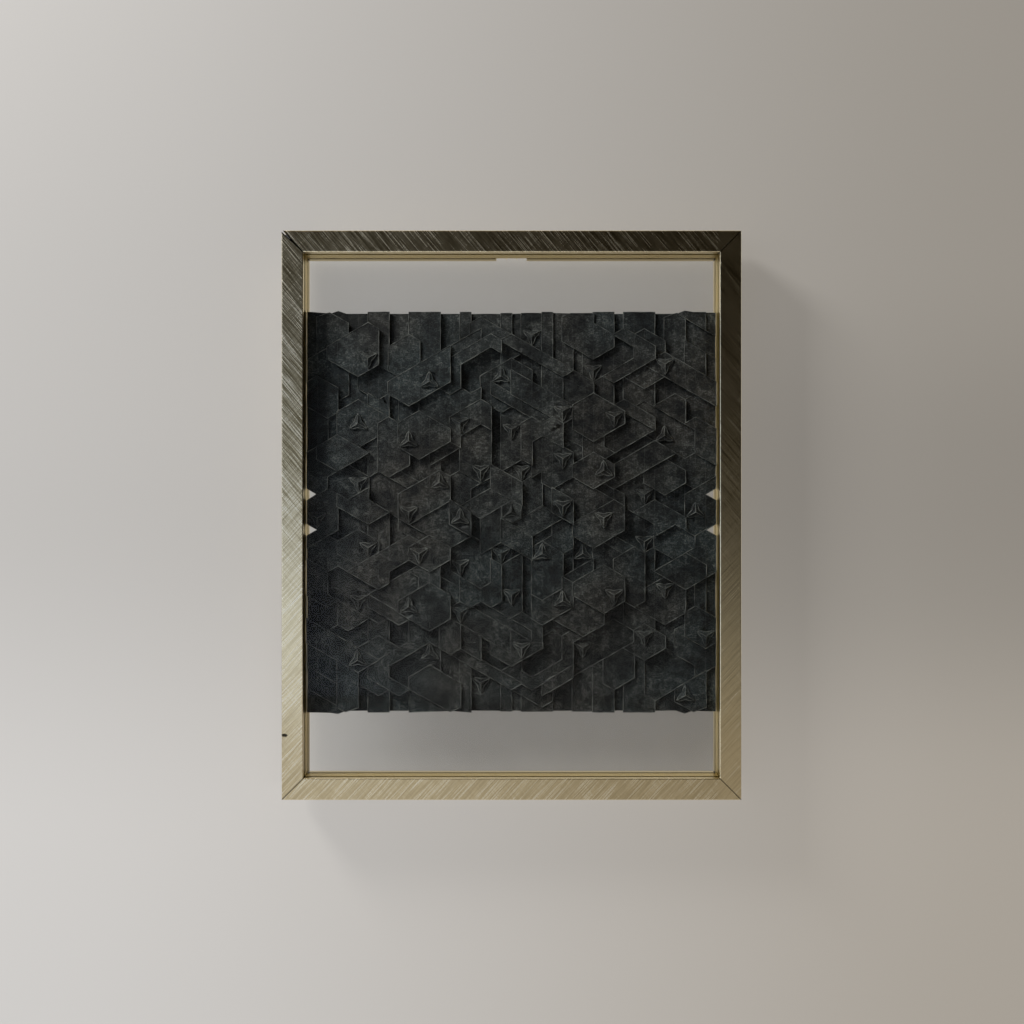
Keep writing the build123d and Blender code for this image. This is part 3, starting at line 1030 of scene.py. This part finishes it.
    def _join_ridges(self, piece: bpy.types.Object, ridges: list, finish: bpy.types.Material) -> None:
        """Runs a thin round ridge along the front folds and joins it to the sheet.

        Args:
            piece: The sheet.
            ridges: The ends of each ridge.
            finish: The ridges' material.
        """
        mesh = bpy.data.meshes.new("fold_lines")
        points = [point for ends in ridges for point in ends]
        mesh.from_pydata(points, [(index, index + 1) for index in range(0, len(points), 2)], [])
        lines = bpy.data.objects.new("fold_lines", mesh)
        bpy.context.scene.collection.objects.link(lines)
        swept = sweep_lines(lines, self.ridge_radius, finish)
        shape = bmesh.new()
        shape.from_mesh(swept)
        for face in shape.faces:
            face.material_index = 1
            face.smooth = True
        shape.from_mesh(piece.data)
        shape.to_mesh(piece.data)
        shape.free()
        piece.data.materials.append(finish)


def sweep_lines(lines: bpy.types.Object, radius: float, finish: bpy.types.Material) -> bpy.types.Mesh:
    """Turns loose edges into thin round bars by Geometry Nodes, and removes the object of edges.

    Args:
        lines: The object that holds the edges.
        radius: The bars' radius.
        finish: The bars' material.

    Returns:
        The bars as a plain mesh.
    """
    tree = bpy.data.node_groups.new("fold_ridges", "GeometryNodeTree")
    tree.is_modifier = True
    face = tree.interface
    face.new_socket("Geometry", in_out="INPUT", socket_type="NodeSocketGeometry")
    size = face.new_socket("Ridge radius", in_out="INPUT", socket_type="NodeSocketFloat")
    face.new_socket("Geometry", in_out="OUTPUT", socket_type="NodeSocketGeometry")
    add = tree.nodes.new
    entry, leave = add("NodeGroupInput"), add("NodeGroupOutput")
    weld, curve, ring, bar = (
        add("GeometryNodeMergeByDistance"),
        add("GeometryNodeMeshToCurve"),
        add("GeometryNodeCurvePrimitiveCircle"),
        add("GeometryNodeCurveToMesh"),
    )
    real, coat = add("GeometryNodeRealizeInstances"), add("GeometryNodeSetMaterial")
    weld.inputs["Distance"].default_value = WELD
    ring.inputs["Resolution"].default_value = 4
    coat.inputs["Material"].default_value = finish
    for start, end in (
        (entry.outputs[0], weld.inputs["Geometry"]),
        (entry.outputs[1], ring.inputs["Radius"]),
        (weld.outputs[0], curve.inputs["Mesh"]),
        (curve.outputs[0], bar.inputs["Curve"]),
        (ring.outputs[0], bar.inputs["Profile Curve"]),
        (bar.outputs[0], real.inputs[0]),
        (real.outputs[0], coat.inputs["Geometry"]),
        (coat.outputs[0], leave.inputs[0]),
    ):
        tree.links.new(start, end)
    bar.inputs["Fill Caps"].default_value = True
    modifier = lines.modifiers.new("fold_ridges", "NODES")
    modifier.node_group = tree
    modifier[size.identifier] = radius
    graph = bpy.context.evaluated_depsgraph_get()
    swept = bpy.data.meshes.new_from_object(lines.evaluated_get(graph))
    bpy.data.objects.remove(lines)
    return swept


@dataclass
class Frame:
    """The rails, keys, panes and spacer strips, which keep their own shapes."""

    nodes: dict[str, bpy.types.Object]
    rail_finish: BrushedBrass = field(default_factory=BrushedBrass)
    strip_finish: SatinBrass = field(default_factory=SatinBrass)
    key_finish: KeySteel = field(default_factory=KeySteel)
    pane_finish: ClearPane = field(default_factory=ClearPane)

    def dress(self, low: Vector, high: Vector) -> None:
        """Gives every piece of the frame its finish.

        Args:
            low: The frame's lowest corner.
            high: The frame's highest corner.
        """
        finishes = {
            "rail": self.rail_finish.material("brushed_brass", low, high),
            "spacer": self.strip_finish.material("satin_brass"),
            "key": self.key_finish.material("key_steel"),
            "glass": self.pane_finish.material("clear_pane"),
        }
        for name, node in self.nodes.items():
            for word, finish in finishes.items():
                if word in name:
                    node.data.materials.clear()
                    node.data.materials.append(finish)
                    log.info("%s: %s", name, finish.name)


@dataclass
class Studio:
    """Camera, lights, and the wall and floor, whose glow carries painted light and painted shadows."""

    camera_place: tuple[float, float, float] = (0.00023, -0.493, 0.1206)
    lens: float = 36.8
    shift: float = 0.0272
    wall_gap: float = 0.006
    wall_size: float = 1.2
    floor_height: float = -0.25
    floor_size: float = 4.0
    wall_colour: tuple[float, float, float] = (0.56, 0.54, 0.51)
    # Painted light: the glow's colours at the left and at the right.
    wall_left: tuple[float, float, float] = (0.666, 0.653, 0.640)
    wall_right: tuple[float, float, float] = (0.397, 0.358, 0.307)
    # Share of the surface that glows with painted light.
    wall_glow: float = 0.78
    # Strengths of the painted shadows of the frame on the wall.
    shade_beside: float = 0.12
    shade_under: float = 0.50
    room_cool: tuple[float, float, float] = (0.80, 0.92, 1.15)
    room_plain: tuple[float, float, float] = (0.95, 0.92, 0.86)
    room_warm: tuple[float, float, float] = (0.95, 0.70, 0.32)
    room_behind: tuple[float, float, float] = (0.55, 0.52, 0.46)
    room_strength: float = 1.5
    lamp_place: tuple[float, float, float] = (-0.66, -0.34, 0.80)
    lamp_colour: tuple[float, float, float] = (1.0, 0.98, 0.95)
    lamp_size: float = 0.25
    lamp_power: float = 18.0

    def set_camera(self) -> None:
        """Puts the camera where the photograph was taken from."""
        data = bpy.data.cameras.new("camera")
        data.sensor_width = 36.0
        data.lens = self.lens
        data.shift_y = self.shift
        camera = bpy.data.objects.new("camera", data)
        camera.location = self.camera_place
        camera.rotation_euler = (math.radians(90.0), 0.0, 0.0)
        bpy.context.scene.collection.objects.link(camera)
        bpy.context.scene.camera = camera

    def _surface(self, name: str, corners: list[tuple], finish: bpy.types.Material) -> None:
        """Adds one large plain face of the studio.

        Args:
            name: The object's name.
            corners: Its corners.
            finish: Its material.
        """
        mesh = bpy.data.meshes.new(name)
        mesh.from_pydata(corners, [], [tuple(range(len(corners)))])
        mesh.materials.append(finish)
        surface = bpy.data.objects.new(name, mesh)
        bpy.context.scene.collection.objects.link(surface)
        surface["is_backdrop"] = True

    def _plain(self, name: str, one_sided: bool) -> bpy.types.Material:
        """A pale surface that glows with painted light and painted shadows, and may be seen and lit from
        its front alone.

        Args:
            name: The material's name.
            one_sided: Whether it is clear from behind and to bounced light.

        Returns:
            The material.
        """
        graph, material = Graph.material(name)
        x, _, z = graph.parts(graph.place())
        # Painted light: the glow is brighter at the left and darker at the right.
        glow = graph.blend(x.ramp(-0.30, 0.28), self.wall_left, self.wall_right)
        # Painted shadows of the frame: beside it on the right, and under the sheet behind the glass.
        shadow_beside = x.ramp(0.06, 0.15) * z.ramp(0.0, 0.10) * z.ramp(0.26, 0.16)
        shadow_under = x.ramp(-0.13, -0.02) * x.ramp(0.104, 0.101)
        shadow_under = shadow_under * z.ramp(0.0, 0.005) * z.ramp(0.12, 0.08)
        # Painted shade: the glow darkens up the wall's height.
        height = z.ramp(-0.03, 0.15, 0.0, 0.28) + z.ramp(0.14, 0.28, 0.0, 0.03)
        shade = height + shadow_beside * self.shade_beside + shadow_under * self.shade_under
        # Painted shade and painted shadows darken the glow.
        glow = graph.blend(shade, glow, (0.0, 0.0, 0.0))
        lit = graph.node("ShaderNodeBsdfDiffuse", {}, {"Color": self.wall_colour + (1.0,)})
        own = graph.node("ShaderNodeEmission", {}, {"Color": glow, "Strength": 1.0})
        layers = {0: self.wall_glow, 1: lit.outputs[0], 2: own.outputs[0]}
        matt = graph.node("ShaderNodeMixShader", {}, layers)
        clear = graph.node("ShaderNodeBsdfTransparent", {}, {})
        seen = graph.add("ShaderNodeLightPath", {}, {}, "Is Camera Ray")
        back = graph.add("ShaderNodeNewGeometry", {}, {}, "Backfacing")
        share = seen * (1.0 - back) if one_sided else seen * 0.0 + 1.0
        mixed = graph.node("ShaderNodeMixShader", {}, {0: share, 1: clear.outputs[0], 2: matt.outputs[0]})
        graph.node("ShaderNodeOutputMaterial", {}, {"Surface": mixed.outputs[0]})
        return material

    def set_stage(self, back_y: float) -> None:
        """Adds the wall behind the object and the floor below it.

        Args:
            back_y: The object's rearmost Y.
        """
        y = back_y + self.wall_gap
        half = self.wall_size / 2
        z = self.floor_height
        wall = [(-half, y, z), (half, y, z), (half, y, half), (-half, y, half)]
        self._surface("wall", wall, self._plain("wall_paint_and_painted_shade", True))
        far = self.floor_size / 2
        floor = [(-far, -far, z), (far, -far, z), (far, far, z), (-far, far, z)]
        self._surface("floor", floor, self._plain("floor_paint_and_painted_shade", False))

    def set_light(self) -> None:
        """Lights the object from a bright left and leaves the upper right dim."""
        world = bpy.data.worlds.new("room")
        bpy.context.scene.world = world
        world.use_nodes = True
        graph = Graph(world.node_tree)
        direction = graph.add("ShaderNodeTexCoord", {}, {}, "Generated")
        x, y, z = graph.parts(direction)
        slope = (x * -0.57 - z + 0.25) / 0.5
        window = slope.largest(0.0).smallest(1.1) ** 2.4 * z.ramp(-0.32, -0.12, 0.5, 1.0)
        beyond = x.ramp(-0.155, -0.19) * z.ramp(0.06, -0.08)
        ahead = window * (0.88 + beyond * 0.34) * y.ramp(-0.30, -0.75)
        above = z.ramp(0.60, 0.90) * x.ramp(0.5, -0.3, 0.15, 0.5)
        tone = graph.blend(x.ramp(-0.24, -0.02), self.room_cool, self.room_plain)
        tone = graph.blend(slope.ramp(-0.5, 0.5), self.room_warm, tone)
        room = graph.blend(ahead.largest(above * 0.55) + 0.010, (0.0, 0.0, 0.0), tone)
        room = graph.blend(y.ramp(-0.05, 0.25), room, self.room_behind)
        shade = graph.node("ShaderNodeBackground", {}, {"Color": room, "Strength": self.room_strength})
        graph.node("ShaderNodeOutputWorld", {}, {"Surface": shade.outputs[0]})
        self._add_lamp()

    def _add_lamp(self) -> None:
        """Adds a square soft lamp that points at the object."""
        data = bpy.data.lights.new("window", "AREA")
        data.size = self.lamp_size
        data.energy = self.lamp_power
        data.color = self.lamp_colour
        lamp = bpy.data.objects.new("window", data)
        lamp.location = self.lamp_place
        aim = Vector((0.0, 0.0, 0.13)) - Vector(self.lamp_place)
        lamp.rotation_euler = aim.to_track_quat("-Z", "Y").to_euler()
        bpy.context.scene.collection.objects.link(lamp)


def main() -> None:
    """Builds and dresses the whole object."""
    logging.basicConfig(level=logging.INFO, format="%(name)s: %(message)s")
    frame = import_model()
    solid_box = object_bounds()
    bpy.context.scene.view_settings.view_transform = "Standard"
    studio = Studio()
    studio.set_camera()
    studio.set_light()
    studio.set_stage(solid_box[1][1])
    Frame(frame["nodes"]).dress(*solid_box)
    FoldedSheet(frame["nodes"]["folded_sheet"]).build()


if __name__ == "__main__":
    main()
